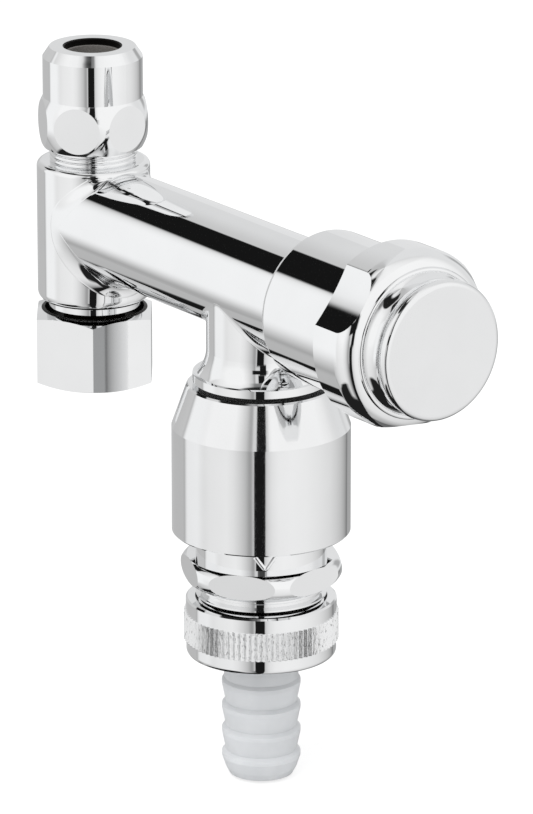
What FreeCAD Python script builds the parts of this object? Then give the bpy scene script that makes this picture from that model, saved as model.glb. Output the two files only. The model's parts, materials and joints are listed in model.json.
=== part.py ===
import FreeCAD, Part
import math
import os
import Sketcher

# Washing machine tap: it sits on an angle valve, feeds the pipe above it and a hose at its side.
# The origin is on the leg's axis, midway along the union nut's thread; +Z is up, the barrel runs along +X.

SIZES = {
    # places of the three axes
    "barrel_height": 28.5,
    "outlet_place": 58.3,
    # vertical leg of the casting
    "leg_radius": 11.65,
    "leg_bottom": 11.1,
    "leg_top": 40.6,
    "leg_top_rounding": 1.2,
    "leg_bottom_rounding": 1.9,
    "waterway_radius": 4.5,
    "collar_radius": 9.5,
    "collar_drop": 1.35,
    "neck_radius": 9.0,
    "neck_height": 3.0,
    "neck_ring_rise": 0.25,
    "stub_radius": 8.25,
    "stub_height": 13.5,
    # barrel and boss
    "barrel_radius": 11.45,
    "boss_radius": 15.5,
    "boss_start": 79.0,
    "boss_end": 103.0,
    "boss_rounding": 1.2,
    "inlet_bore_radius": 5.5,
    "seat_place": 50.0,
    "seat_lip_width": 1.1,
    "seat_lip_height": 1.5,
    "chamber_radius": 8.6,
    "chamber_end": 80.0,
    "head_bore_radius": 11.3,
    # outlet neck
    "outlet_neck_radius": 11.0,
    "outlet_bore_radius": 7.5,
    "flange_radius": 13.75,
    "flange_depth": 20.4,
    "flange_thickness": 1.6,
    "flare_height": 4.9,
    "flare_width": 1.8,
    "spigot_bore_radius": 9.4,
    "spigot_length": 8.0,
    "spigot_seal_inset": 3.0,
    # inlet side
    "thread_gap": 0.1,
    "swivel_gap": 0.08,
    "seat_gap": 0.02,
    "gasket_radius": 7.9,
    "gasket_bore": 5.2,
    "gasket_thickness": 2.0,
    "tail_flange_radius": 7.4,
    "tail_flange_thickness": 2.9,
    "tail_radius": 6.32,
    "tail_length": 20.0,
    "tail_key_width": 9.4,
    "tail_key_depth": 8.0,
    "union_width": 23.5,
    "union_skirt": 6.2,
    "union_thread_radius": 8.4,
    "union_undercut": 0.25,
    "union_chamfer_radius": 10.45,
    "union_chamfer_height": 1.15,
    "union_recess_radius": 10.25,
    "union_recess_depth": 2.4,
    "union_top_gap": 0.6,
    "union_edge_radius": 11.6,
    "union_edge_height": 0.8,
    "turning_margin": 0.2,
    # compression nut on top
    "pipe_radius": 5.0,
    "pipe_gap": 0.1,
    "pipe_depth": 12.0,
    "pipe_nut_width": 21.0,
    "pipe_nut_turned_radius": 11.6,
    "pipe_nut_hex_height": 10.5,
    "pipe_nut_height": 20.95,
    "pipe_nut_cylinder_radius": 10.25,
    "pipe_nut_chamfer_radius": 8.85,
    "pipe_nut_chamfer_height": 2.1,
    "pipe_nut_mouth_radius": 5.85,
    "pipe_nut_mouth_chamfer": 0.25,
    "pipe_nut_lip": 1.4,
    "pipe_seal_radius": 7.6,
    "pipe_seal_height": 4.6,
    "olive_radius": 7.0,
    "olive_cone": 1.7,
    # headpart
    "head_guide_start": 72.0,
    "head_guide_radius": 8.5,
    "head_flange_radius": 13.6,
    "head_flange_thickness": 2.0,
    "head_gland_radius": 7.5,
    "head_gland_end": 107.2,
    "head_key_width": 13.0,
    "head_key_end": 86.3,
    "spindle_radius": 6.2,
    "spindle_shoulder": 97.8,
    "spindle_thread_radius": 4.0,
    "spindle_thread_end": 96.9,
    "stem_radius": 4.0,
    "stem_end": 112.3,
    "running_gap": 0.06,
    "ring_section": 0.75,
    "clip_radius": 4.9,
    "clip_thickness": 0.8,
    "spline_teeth": 18.0,
    "spline_depth": 0.45,
    "spline_length": 2.6,
    "washer_radius": 6.9,
    "washer_thickness": 3.0,
    "plunger_radius": 7.6,
    "plunger_disc": 2.2,
    "plunger_rim": 1.6,
    "plunger_rod_radius": 3.6,
    "plunger_key_start": 74.0,
    "plunger_key_length": 6.0,
    "plunger_end": 92.4,
    # knob
    "knob_radius": 18.15,
    "knob_start": 100.0,
    "knob_shoulder": 110.51,
    "knob_shoulder_rounding": 4.2,
    "knob_shoulder_length": 4.01,
    "knob_shoulder_width": 2.95,
    "knob_bore_gap": 0.35,
    "knob_bore_end": 107.4,
    "knob_scoop_depth": 1.69,
    "knob_scoop_radius": 47.0,
    "knob_lip_radius": 0.65,
    "cove_radius": 3.65,
    "cove_place": 113.52,
    "cove_lift": 2.84,
    "knob_recess_inset": 4.05,
    "knob_recess_start": 110.9,
    "hub_inset": 3.1,
    "hub_flange_gap": 0.16,
    "hub_flange_thickness": 1.2,
    "hub_cover": 0.6,
    "screw_radius": 2.0,
    "screw_length": 9.0,
    "screw_head_radius": 3.6,
    "screw_head_height": 2.1,
    "cap_inset": 4.1,
    "cap_front": 117.4,
    "cap_rounding": 1.2,
    "cap_spigot": 1.5,
    "cap_wall": 1.4,
    # backflow preventer; depths are measured down from the barrel axis
    "shroud_gap": 0.7,
    "shroud_rim_radius": 15.0,
    "shroud_radius": 18.0,
    "shroud_cone_end": 29.9,
    "shroud_end": 52.05,
    "shroud_wall": 1.3,
    "shroud_web": 1.6,
    "preventer_radius": 13.3,
    "preventer_end": 57.1,
    "collar_width": 30.0,
    "collar_turned_radius": 16.5,
    "collar_height": 5.1,
    "collar_bevel": 1.5,
    "hose_thread_radius": 13.2,
    "hose_thread_depth": 0.75,
    "hose_thread_pitch": 1.814,
    "hose_thread_end": 70.9,
    "cage_bore_radius": 8.0,
    "cage_bore_length": 18.5,
    "air_chamber_radius": 10.8,
    "air_port_depth": 43.5,
    "air_port_radius": 1.6,
    "cage_radius": 7.95,
    "cage_inset": 0.7,
    "cage_seal_inset": 5.0,
    "cage_bore": 6.6,
    "cage_mouth": 4.2,
    "cage_top": 2.0,
    "cage_bridge": 3.0,
    "cage_hole_radius": 1.6,
    "cage_hole_place": 4.4,
    "poppet_radius": 5.4,
    "poppet_thickness": 1.8,
    "poppet_stem_radius": 1.5,
    "poppet_stem_length": 12.4,
    "poppet_travel": 3.0,
    "poppet_seal_thickness": 0.9,
    "spring_radius": 3.0,
    "spring_wire": 0.3,
    "spring_turns": 4.5,
    "air_seat_start": 40.0,
    "air_seat_end": 60.0,
    "air_seat_bore": 7.6,
    "air_seat_top": 1.5,
    "air_channel_radius": 9.3,
    "air_channel_end": 46.0,
    "air_hole_radius": 0.45,
    "air_ring_radius": 10.5,
    "air_ring_bore": 7.0,
    "air_ring_thickness": 1.5,
    # hose nut and nozzle
    "hose_nut_start": 66.1,
    "hose_nut_knurl_start": 69.1,
    "hose_nut_knurl_end": 75.0,
    "hose_nut_end": 78.1,
    "hose_nut_top_radius": 15.25,
    "hose_nut_bottom_radius": 15.15,
    "hose_nut_rounding": 1.0,
    "hose_nut_web": 2.6,
    "hose_nut_hole": 8.6,
    "knurl_radius": 15.65,
    "knurl_depth": 0.45,
    "knurl_teeth": 84.0,
    "nozzle_gasket_thickness": 1.6,
    "nozzle_flange_radius": 12.4,
    "nozzle_neck_radius": 7.55,
    "nozzle_bore": 5.4,
    "barb_start": 84.0,
    "barb_pitch": 5.15,
    "barb_count": 4.0,
    "barb_ridge_radius": 8.0,
    "barb_valley_radius": 7.25,
    "barb_land": 0.8,
    "barb_step": 0.7,
    "nozzle_end": 103.9,
    "nozzle_tip_radius": 6.5,
    "nozzle_tip_length": 1.4,
}

OUTLET_HEX_TURN = 8.8
UNION_HEX_TURN = -6.2
PIPE_NUT_HEX_TURN = 6.8
KNOB_TURN = -5.0
COVE_REAR_ANGLE = 43.7
NECK_RINGS = 3
AIR_PORTS = 8
CAGE_HOLES = 4


class Size:
    """A length that knows its expression on the sheet and its value."""

    def __init__(self, text, value):
        self.text = text
        self.value = value

    def __add__(self, other):
        other = as_size(other)
        return Size("(%s + %s)" % (self.text, other.text), self.value + other.value)

    def __sub__(self, other):
        other = as_size(other)
        return Size("(%s - %s)" % (self.text, other.text), self.value - other.value)

    def __mul__(self, other):
        other = as_size(other)
        return Size("(%s * %s)" % (self.text, other.text), self.value * other.value)

    def __truediv__(self, other):
        other = as_size(other)
        return Size("(%s / %s)" % (self.text, other.text), self.value / other.value)


def as_size(item):
    if isinstance(item, Size):
        return item
    return Size("%.9g" % item, float(item))


class Sheet:
    """Named sizes; each attribute is a Size."""


def make_sheet(doc):
    sheet = doc.addObject("Spreadsheet::Sheet", "sizes")
    named = Sheet()
    for row, (name, value) in enumerate(SIZES.items(), start=1):
        sheet.set("A%d" % row, name)
        sheet.set("B%d" % row, str(value))
        sheet.setAlias("B%d" % row, name)
        setattr(named, name, Size("sizes.%s" % name, float(value)))
    doc.recompute()
    return named


def origin_feature(body, role):
    for feature in body.Origin.OriginFeatures:
        if feature.Role == role:
            return feature
    raise ValueError("no origin feature " + role)


def new_body(doc, name, place=None, direction="up", turn=0.0):
    """A body whose own Z axis points up, down or along the barrel, from a place on the sheet."""
    body = doc.addObject("PartDesign::Body", name)
    body.Label = name
    about = FreeCAD.Vector(0, 1, 0)
    tilt = {"up": 0.0, "down": 180.0, "along": 90.0}[direction]
    rotation = FreeCAD.Rotation(about, tilt) * FreeCAD.Rotation(FreeCAD.Vector(0, 0, 1), turn)
    body.Placement = FreeCAD.Placement(FreeCAD.Vector(0, 0, 0), rotation)
    for axis, size in (place or {}).items():
        body.setExpression("Placement.Base." + axis, as_size(size).text)
    return body


def new_sketch(body, name, role="XZ_Plane", offset=None, turn=0.0):
    """A sketch on one of the body's own planes; offset holds sizes for x, y and z."""
    sketch = body.newObject("Sketcher::SketchObject", name)
    sketch.AttachmentSupport = (origin_feature(body, role), [""])
    sketch.MapMode = "FlatFace"
    rotation = FreeCAD.Rotation(FreeCAD.Vector(0, 0, 1), turn)
    sketch.AttachmentOffset = FreeCAD.Placement(FreeCAD.Vector(0, 0, 0), rotation)
    for axis, size in (offset or {}).items():
        sketch.setExpression("AttachmentOffset.Base." + axis, as_size(size).text)
    return sketch


def bind(sketch, constraint, size):
    index = sketch.addConstraint(constraint)
    sketch.setExpression("Constraints[%d]" % index, size.text)


def pin(sketch, geometry, end, point):
    """Tie one end of a line or arc to its place on the sheet."""
    for kind, axis, size in (("DistanceX", -2, as_size(point[0])), ("DistanceY", -1, as_size(point[1]))):
        if abs(size.value) < 1e-9:
            sketch.addConstraint(Sketcher.Constraint("PointOnObject", geometry, end, axis))
        else:
            bind(sketch, Sketcher.Constraint(kind, -1, 1, geometry, end, size.value), size)


def vector(point):
    return FreeCAD.Vector(as_size(point[0]).value, as_size(point[1]).value, 0)


def arc_between(start, end, radius):
    """An arc that bulges to the right of the way from start to end."""
    chord = end - start
    left = FreeCAD.Vector(-chord.y, chord.x, 0).normalize()
    centre = (start + end) * 0.5 + left * math.sqrt(radius ** 2 - chord.Length ** 2 / 4)
    circle = Part.Circle(centre, FreeCAD.Vector(0, 0, 1), radius)
    return Part.ArcOfCircle(circle, circle.parameter(start), circle.parameter(end))


def add_outline(sketch, points):
    """Close a ring through the points.

    A point's third item is the radius of an arc to the next one, which bulges to the right of the way,
    or to the left where a fourth item says "hollow".
    """
    first = sketch.GeometryCount
    count = len(points)
    ends = []
    for i, point in enumerate(points):
        start = vector(point)
        end = vector(points[(i + 1) % count])
        hollow = len(point) == 4
        ends.append((2, 1) if hollow else (1, 2))
        if hollow:
            sketch.addGeometry(arc_between(end, start, point[2].value), False)
        elif len(point) == 3:
            sketch.addGeometry(arc_between(start, end, point[2].value), False)
        else:
            sketch.addGeometry(Part.LineSegment(start, end), False)
    for i, point in enumerate(points):
        after = (i + 1) % count
        meeting = (first + i, ends[i][1], first + after, ends[after][0])
        sketch.addConstraint(Sketcher.Constraint("Coincident", *meeting))
        pin(sketch, first + i, ends[i][0], point)
        if len(point) > 2:
            bind(sketch, Sketcher.Constraint("Radius", first + i, point[2].value), point[2])


def arc_radius(length, rise):
    """Radius of an arc from its chord's length and its rise."""
    half = as_size(length) / 2
    return (half * half + rise * rise) / (rise * 2)


def add_circle(sketch, centre, radius):
    radius = as_size(radius)
    index = sketch.addGeometry(Part.Circle(vector(centre), FreeCAD.Vector(0, 0, 1), radius.value), False)
    pin(sketch, index, 3, centre)
    bind(sketch, Sketcher.Constraint("Radius", index, radius.value), radius)


def hexagon(width):
    """The six corners for a width across flats, with flats facing along x."""
    half = as_size(width) / 2
    corner = as_size(width) / math.sqrt(3)
    side = corner / 2
    zero = as_size(0)
    return [(half, side), (zero, corner), (zero - half, side),
            (zero - half, zero - side), (zero, zero - corner), (half, zero - side)]


def revolve(body, name, points, cut=False, offset=None, turn=0.0):
    """Turn an outline of (radius, height) points about the sketch's upright axis."""
    sketch = new_sketch(body, name + "_outline", "XZ_Plane", offset, turn)
    add_outline(sketch, points)
    feature = body.newObject("PartDesign::Groove" if cut else "PartDesign::Revolution", name)
    feature.Profile = sketch
    feature.ReferenceAxis = (sketch, ["V_Axis"])
    feature.Angle = 360.0
    return feature


def pocket_all(body, name, sketch):
    """Cut the sketch right through, both ways."""
    feature = body.newObject("PartDesign::Pocket", name)
    feature.Profile = sketch
    feature.Type = "ThroughAll"
    feature.Midplane = True
    return feature


def cut_hexagon(body, name, width, radius):
    """Trim a turned blank to a hexagon."""
    sketch = new_sketch(body, name + "_outline", "XY_Plane")
    add_circle(sketch, (0, 0), as_size(radius) + 2)
    add_outline(sketch, hexagon(width))
    return pocket_all(body, name, sketch)


def pocket_up(body, name, sketch, length):
    """Cut the sketch upwards from its plane."""
    feature = body.newObject("PartDesign::Pocket", name)
    feature.Profile = sketch
    feature.setExpression("Length", as_size(length).text)
    feature.Reversed = True
    return feature


def polar_copies(body, name, feature, count, role="Z_Axis"):
    pattern = body.newObject("PartDesign::PolarPattern", name)
    pattern.Originals = [feature]
    pattern.Axis = (origin_feature(body, role), [""])
    pattern.Angle = 360.0
    pattern.Occurrences = count
    body.Tip = pattern
    return pattern


def ring_edges(feature, radius, height):
    """Names of the circular edges at a radius and height in the body's own frame."""
    names = []
    for index, edge in enumerate(feature.Shape.Edges, start=1):
        curve = edge.Curve
        if not isinstance(curve, Part.Circle) or abs(curve.Radius - as_size(radius).value) > 1e-4:
            continue
        if abs(curve.Axis.z) > 0.999 and abs(curve.Center.z - as_size(height).value) < 1e-4:
            names.append("Edge%d" % index)
    return names


def round_edges(body, name, base, edges, radius):
    if not edges:
        raise ValueError("no edges for " + name)
    fillet = body.newObject("PartDesign::Fillet", name)
    fillet.Base = (base, edges)
    fillet.setExpression("Radius", as_size(radius).text)
    body.Tip = fillet
    return fillet


def round_ring(doc, body, name, base, radius, height, rounding):
    """Round the circular edge at a radius and height."""
    doc.recompute()
    return round_edges(body, name, base, ring_edges(base, radius, height), rounding)


def ring_body(doc, name, inner, outer, low, high, **where):
    """A plain flat ring."""
    body = new_body(doc, name, **where)
    revolve(body, name + "_ring", [(inner, low), (outer, low), (outer, high), (inner, high)])
    return body


def seal_body(doc, name, centre_radius, section, heights, **where):
    """One or more rubber rings of round section."""
    body = new_body(doc, name, **where)
    for index, height in enumerate(heights):
        sketch = new_sketch(body, "%s_section_%d" % (name, index))
        add_circle(sketch, (centre_radius, height), section)
        feature = body.newObject("PartDesign::Revolution", "%s_ring_%d" % (name, index))
        feature.Profile = sketch
        feature.ReferenceAxis = (sketch, ["V_Axis"])
        feature.Angle = 360.0
    return body


def body_casting(doc, s):
    """Leg, barrel, boss and outlet neck in one casting, with its bores."""
    body = new_body(doc, "body_casting", **upright(s))
    collar_bottom = s.leg_bottom - s.collar_drop
    nut_bottom = s.leg_top + s.neck_height
    stub_top = nut_bottom + s.stub_height
    leg = revolve(body, "leg", [
        (0, collar_bottom), (s.collar_radius, collar_bottom), (s.collar_radius, s.leg_bottom),
        (s.leg_radius, s.leg_bottom), (s.leg_radius, s.leg_top)] + neck_rings(s) + [
        (s.neck_radius - s.neck_ring_rise, nut_bottom), (s.stub_radius, nut_bottom),
        (s.stub_radius, stub_top), (0, stub_top)])
    leg = round_ring(doc, body, "leg_top_round", leg, s.leg_radius, s.leg_top, s.leg_top_rounding)
    round_ring(doc, body, "leg_bottom_round", leg, s.leg_radius, s.leg_bottom, s.leg_bottom_rounding)
    barrel_offset = {"y": s.barrel_height}
    barrel = revolve(body, "barrel", [
        (0, 0), (s.barrel_radius, 0), (s.barrel_radius, s.boss_start), (s.boss_radius, s.boss_start),
        (s.boss_radius, s.boss_end), (0, s.boss_end)], offset=barrel_offset, turn=-90.0)
    doc.recompute()
    round_edges(body, "boss_round", barrel, boss_edges(barrel, s), s.boss_rounding)
    outlet_offset = {"x": s.outlet_place, "y": s.barrel_height}
    flange_top = s.flange_depth - s.flange_thickness
    flare = (s.flare_height * s.flare_height + s.flare_width * s.flare_width) / (s.flare_width * 2)
    revolve(body, "outlet_neck", [
        (0, 0), (s.outlet_neck_radius, 0),
        (s.outlet_neck_radius, flange_top - s.flare_height, flare, "hollow"),
        (s.outlet_neck_radius + s.flare_width, flange_top), (s.flange_radius, flange_top),
        (s.flange_radius, s.flange_depth), (0, s.flange_depth)], offset=outlet_offset, turn=180.0)
    cut_leg_bores(body, s, collar_bottom, stub_top)
    cut_barrel_bores(body, s, barrel_offset)
    cut_outlet_bores(body, s, outlet_offset)
    return body


def boss_edges(feature, s):
    """The outer circle of the boss at its rear face."""
    names = []
    for index, edge in enumerate(feature.Shape.Edges, start=1):
        if not isinstance(edge.Curve, Part.Circle):
            continue
        centre = edge.Curve.Center
        if abs(edge.Curve.Radius - s.boss_radius.value) < 1e-4 and abs(centre.x - s.boss_start.value) < 1e-4:
            names.append("Edge%d" % index)
    return names


def neck_rings(s):
    """Outline of the bulging rings between the leg and the compression nut."""
    pitch = s.neck_height / NECK_RINGS
    bulge = arc_radius(pitch, s.neck_ring_rise)
    root = s.neck_radius - s.neck_ring_rise
    return [(root, s.leg_top + pitch * index, bulge) for index in range(NECK_RINGS)]


def cut_leg_bores(body, s, collar_bottom, stub_top):
    """Tailpiece thread below, waterway, pipe socket and cone seat above."""
    tail_bore = s.tail_radius + s.seat_gap
    tail_top = collar_bottom + s.tail_length * 0.6
    pipe_bore = s.pipe_radius + s.pipe_gap
    pipe_stop = stub_top - s.pipe_depth
    cone_radius = pipe_bore + s.olive_cone
    revolve(body, "leg_bore", [
        (0, collar_bottom - 1), (tail_bore, collar_bottom - 1), (tail_bore, tail_top),
        (s.waterway_radius, tail_top), (s.waterway_radius, pipe_stop), (pipe_bore, pipe_stop),
        (pipe_bore, stub_top - s.olive_cone), (cone_radius, stub_top), (cone_radius, stub_top + 1),
        (0, stub_top + 1)], cut=True)


def cut_barrel_bores(body, s, offset):
    """Inlet bore, raised valve seat, chamber and headpart thread."""
    floor = s.seat_place - s.seat_lip_height
    lip = s.inlet_bore_radius + s.seat_lip_width
    revolve(body, "barrel_bore", [
        (0, 0), (s.inlet_bore_radius, 0), (s.inlet_bore_radius, s.seat_place), (lip, s.seat_place),
        (lip, floor), (s.chamber_radius, floor), (s.chamber_radius, s.chamber_end),
        (s.head_bore_radius, s.chamber_end), (s.head_bore_radius, s.boss_end + 1), (0, s.boss_end + 1)],
        cut=True, offset=offset, turn=-90.0)


def cut_outlet_bores(body, s, offset):
    """Outlet bore and the wider thread for the backflow preventer."""
    ledge = s.flange_depth - s.spigot_length
    revolve(body, "outlet_bore", [
        (0, 0), (s.outlet_bore_radius, 0), (s.outlet_bore_radius, ledge), (s.spigot_bore_radius, ledge),
        (s.spigot_bore_radius, s.flange_depth + 1), (0, s.flange_depth + 1)],
        cut=True, offset=offset, turn=180.0)


def inlet_tailpiece(doc, s):
    """Flanged tailpiece with a hexagonal key socket."""
    body = new_body(doc, "inlet_tailpiece", **upright(s))
    flange_top = s.gasket_thickness + s.tail_flange_thickness
    top = s.leg_bottom - s.collar_drop + s.tail_length * 0.6 - 0.1
    revolve(body, "tail_blank", [
        (s.waterway_radius, s.gasket_thickness), (s.tail_flange_radius, s.gasket_thickness),
        (s.tail_flange_radius, flange_top), (s.tail_radius, flange_top), (s.tail_radius, top),
        (s.waterway_radius, top)])
    sketch = new_sketch(body, "key_socket_outline", "XY_Plane", {"z": s.gasket_thickness})
    add_outline(sketch, hexagon(s.tail_key_width))
    pocket_up(body, "key_socket", sketch, s.tail_key_depth)
    return body


def inlet_gasket(doc, s):
    return ring_body(doc, "inlet_gasket", s.gasket_bore, s.gasket_radius, 0, s.gasket_thickness,
                     **upright(s))


def inlet_union_nut(doc, s):
    """Hexagon nut held captive by the tailpiece flange."""
    body = new_body(doc, "inlet_union_nut", turn=UNION_HEX_TURN, **upright(s))
    web = s.gasket_thickness + s.tail_flange_thickness + s.thread_gap
    top = s.leg_bottom - s.collar_drop - s.union_top_gap
    floor = top - s.union_recess_depth
    bottom = as_size(0) - s.union_skirt
    corner = s.union_width / math.sqrt(3)
    hole = s.tail_radius + s.swivel_gap
    relief = s.union_thread_radius + s.union_undercut
    revolve(body, "union_blank", [
        (s.union_thread_radius, bottom), (s.union_edge_radius, bottom),
        (corner + s.turning_margin, bottom + s.union_edge_height),
        (corner + s.turning_margin, top - s.union_chamfer_height),
        (s.union_chamfer_radius, top), (s.union_recess_radius, top), (s.union_recess_radius, floor),
        (hole, floor), (hole, web), (relief, web), (relief, 0), (s.union_thread_radius, 0)])
    cut_hexagon(body, "union_hexagon", s.union_width, corner)
    return body


def compression_nut(doc, s):
    """Top nut: a turned hexagon below, a plain cylinder with a long chamfer above."""
    body = new_body(doc, "compression_nut", turn=PIPE_NUT_HEX_TURN, **upright(s))
    bottom = s.leg_top + s.neck_height + s.thread_gap
    top = s.leg_top + s.neck_height + s.pipe_nut_height
    hex_top = bottom + s.pipe_nut_hex_height
    band = arc_radius(s.pipe_nut_hex_height, s.pipe_nut_turned_radius - s.pipe_nut_cylinder_radius)
    mouth = s.pipe_nut_mouth_radius + s.pipe_nut_mouth_chamfer
    bore = s.stub_radius + s.thread_gap
    seal_room = top - s.pipe_nut_lip
    revolve(body, "pipe_nut_blank", [
        (bore, bottom), (s.pipe_nut_cylinder_radius, bottom, band), (s.pipe_nut_cylinder_radius, hex_top),
        (s.pipe_nut_cylinder_radius, top - s.pipe_nut_chamfer_height), (s.pipe_nut_chamfer_radius, top),
        (mouth, top), (s.pipe_nut_mouth_radius, top - s.pipe_nut_mouth_chamfer),
        (s.pipe_nut_mouth_radius, seal_room), (bore, seal_room)])
    cut_hexagon(body, "pipe_nut_hexagon", s.pipe_nut_width, s.pipe_nut_turned_radius)
    return body


def pipe_seal(doc, s):
    """Seal ring seen under the nut's lip."""
    top = s.leg_top + s.neck_height + s.pipe_nut_height - s.pipe_nut_lip
    return ring_body(doc, "pipe_seal", s.pipe_radius + s.pipe_gap, s.pipe_seal_radius,
                     top - s.pipe_seal_height, top, **upright(s))


def pipe_olive(doc, s):
    """Clamping ring with a cone that meets the casting's cone seat."""
    body = new_body(doc, "pipe_olive", **upright(s))
    high = s.leg_top + s.neck_height + s.pipe_nut_height - s.pipe_nut_lip - s.pipe_seal_height
    seat = s.leg_top + s.neck_height + s.stub_height
    bore = s.pipe_radius + s.pipe_gap
    low = seat - s.olive_cone + s.thread_gap * 2
    shoulder = bore + s.olive_cone - s.thread_gap
    revolve(body, "olive_ring", [
        (bore, low), (bore + s.thread_gap, low), (shoulder, seat), (shoulder, seat + s.thread_gap),
        (s.olive_radius, seat + s.thread_gap), (s.olive_radius, high), (bore, high)])
    return body


def datum(s):
    """Height of the inlet's sealing face above the origin, which is midway along the union thread."""
    return s.union_skirt / 2


def upright(s):
    """Place of bodies whose heights are measured from the inlet's sealing face."""
    return {"place": {"z": datum(s)}}


def along(s):
    """Place of bodies whose heights run along the barrel."""
    return {"place": {"z": datum(s) + s.barrel_height}, "direction": "along"}


def below(s):
    """Place of bodies whose heights are depths below the barrel axis, at the outlet."""
    return {"place": {"x": s.outlet_place, "z": datum(s) + s.barrel_height}, "direction": "down"}


def ring_groove(s, bore, section):
    """Centre radius of a rubber ring that fills the gap between a groove and its bore."""
    return as_size(bore) - section


def headpart_body(doc, s):
    """Screwed-in headpart: hexagonal guide, spindle bearing, flange and gland neck."""
    body = new_body(doc, "headpart_body", **along(s))
    outer = s.head_bore_radius - s.seat_gap
    guide_end = s.chamber_end + s.thread_gap
    flange_start = s.boss_end
    flange_end = s.boss_end + s.head_flange_thickness
    bearing = s.spindle_radius + s.running_gap
    stem = s.stem_radius + s.running_gap
    seal_room = s.ring_section * 2
    seal_end = s.boss_end - 1.5
    revolve(body, "head_blank", [
        (bearing, s.head_guide_start), (s.head_guide_radius, s.head_guide_start),
        (s.head_guide_radius, guide_end), (outer, guide_end), (outer, seal_end - seal_room),
        (outer - seal_room, seal_end - seal_room), (outer - seal_room, seal_end), (outer, seal_end),
        (outer, flange_start), (s.head_flange_radius, flange_start), (s.head_flange_radius, flange_end),
        (s.head_gland_radius, flange_end), (s.head_gland_radius, s.head_gland_end),
        (stem, s.head_gland_end), (stem, s.spindle_shoulder + s.running_gap),
        (bearing, s.spindle_shoulder + s.running_gap)])
    sketch = new_sketch(body, "head_key_outline", "XY_Plane", {"z": s.head_guide_start})
    add_outline(sketch, hexagon(s.head_key_width + s.running_gap * 2))
    pocket_up(body, "head_key", sketch, s.head_key_end - s.head_guide_start)
    return body


def headpart_seal(doc, s):
    centre = ring_groove(s, s.head_bore_radius - s.seat_gap, s.ring_section)
    return seal_body(doc, "headpart_seal", centre, s.ring_section - s.seat_gap,
                     [s.boss_end - 1.5 - s.ring_section], **along(s))


def stem_seal_places(s):
    middle = s.boss_end + s.head_flange_thickness / 2
    return [middle - 1.6, middle + 1.6]


def spindle(doc, s):
    """Turning spindle: threaded cup behind, stem with seal grooves, clip groove and splines."""
    body = new_body(doc, "spindle", **along(s))
    groove = s.ring_section * 2
    outline = [(s.spindle_thread_radius, s.head_key_end + s.thread_gap),
               (s.spindle_radius, s.head_key_end + s.thread_gap), (s.spindle_radius, s.spindle_shoulder),
               (s.stem_radius, s.spindle_shoulder)]
    for place in stem_seal_places(s):
        outline += [(s.stem_radius, place - s.ring_section), (s.stem_radius - groove, place - s.ring_section),
                    (s.stem_radius - groove, place + s.ring_section), (s.stem_radius, place + s.ring_section)]
    clip_start = s.head_gland_end + s.thread_gap
    clip_end = clip_start + s.clip_thickness
    screw_bore = s.screw_radius + s.seat_gap
    screw_floor = s.stem_end + s.hub_cover - s.screw_length - 0.3
    outline += [(s.stem_radius, clip_start), (s.stem_radius - s.clip_thickness, clip_start),
                (s.stem_radius - s.clip_thickness, clip_end), (s.stem_radius, clip_end),
                (s.stem_radius, s.stem_end), (screw_bore, s.stem_end), (screw_bore, screw_floor),
                (0, screw_floor), (0, s.spindle_thread_end), (s.spindle_thread_radius, s.spindle_thread_end)]
    revolve(body, "spindle_blank", outline)
    spline = new_sketch(body, "spline_outline", "XY_Plane", {"z": s.stem_end - s.spline_length})
    root = s.stem_radius - s.spline_depth
    add_outline(spline, [(root, 0), (s.stem_radius + 1, 0.42), (s.stem_radius + 1, -0.42)])
    notch = body.newObject("PartDesign::Pocket", "spline_notch")
    notch.Profile = spline
    notch.setExpression("Length", (s.spline_length + 1).text)
    notch.Reversed = True
    polar_copies(body, "splines", notch, int(s.spline_teeth.value))
    return body


def spindle_clip(doc, s):
    """Open retaining ring in the spindle's groove."""
    body = new_body(doc, "spindle_clip", **along(s))
    low = s.head_gland_end + s.thread_gap + s.seat_gap
    high = low + s.clip_thickness - s.seat_gap * 2
    inner = s.stem_radius - s.clip_thickness + s.seat_gap
    revolve(body, "clip_ring", [(inner, low), (s.clip_radius, low), (s.clip_radius, high), (inner, high)])
    sketch = new_sketch(body, "clip_mouth_outline", "XY_Plane")
    reach = s.clip_radius + 1
    half = s.clip_thickness * 1.6
    add_outline(sketch, [(1, as_size(0) - half), (reach, as_size(0) - half), (reach, half), (1, half)])
    pocket_all(body, "clip_mouth", sketch)
    return body


def spindle_seal(doc, s, name, place):
    centre = ring_groove(s, s.stem_radius, s.ring_section)
    return seal_body(doc, name, centre, s.ring_section - s.seat_gap, [place], **along(s))


def valve_plunger(doc, s):
    """Closing part: washer cup, rod, hexagonal slide and threaded end."""
    body = new_body(doc, "valve_plunger", **along(s))
    cup = s.seat_place + s.washer_thickness
    disc_end = cup + s.plunger_disc
    key_end = s.plunger_key_start + s.plunger_key_length
    key_corner = s.head_key_width / math.sqrt(3)
    thread = s.spindle_thread_radius - s.thread_gap
    screw = s.screw_radius + s.seat_gap
    revolve(body, "plunger_blank", [
        (screw, cup), (s.washer_radius + s.seat_gap, cup), (s.washer_radius + s.seat_gap, cup - s.plunger_rim),
        (s.plunger_radius, cup - s.plunger_rim), (s.plunger_radius, disc_end), (s.plunger_rod_radius, disc_end),
        (s.plunger_rod_radius, s.plunger_key_start), (key_corner, s.plunger_key_start), (key_corner, key_end),
        (thread, key_end), (thread, s.plunger_end), (0, s.plunger_end), (0, disc_end + 5.2),
        (screw, disc_end + 5.2)])
    sketch = new_sketch(body, "plunger_key_outline", "XY_Plane", {"z": s.plunger_key_start})
    add_circle(sketch, (0, 0), key_corner + 2)
    add_outline(sketch, hexagon(s.head_key_width))
    pocket_up(body, "plunger_key", sketch, s.plunger_key_length)
    return body


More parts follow.
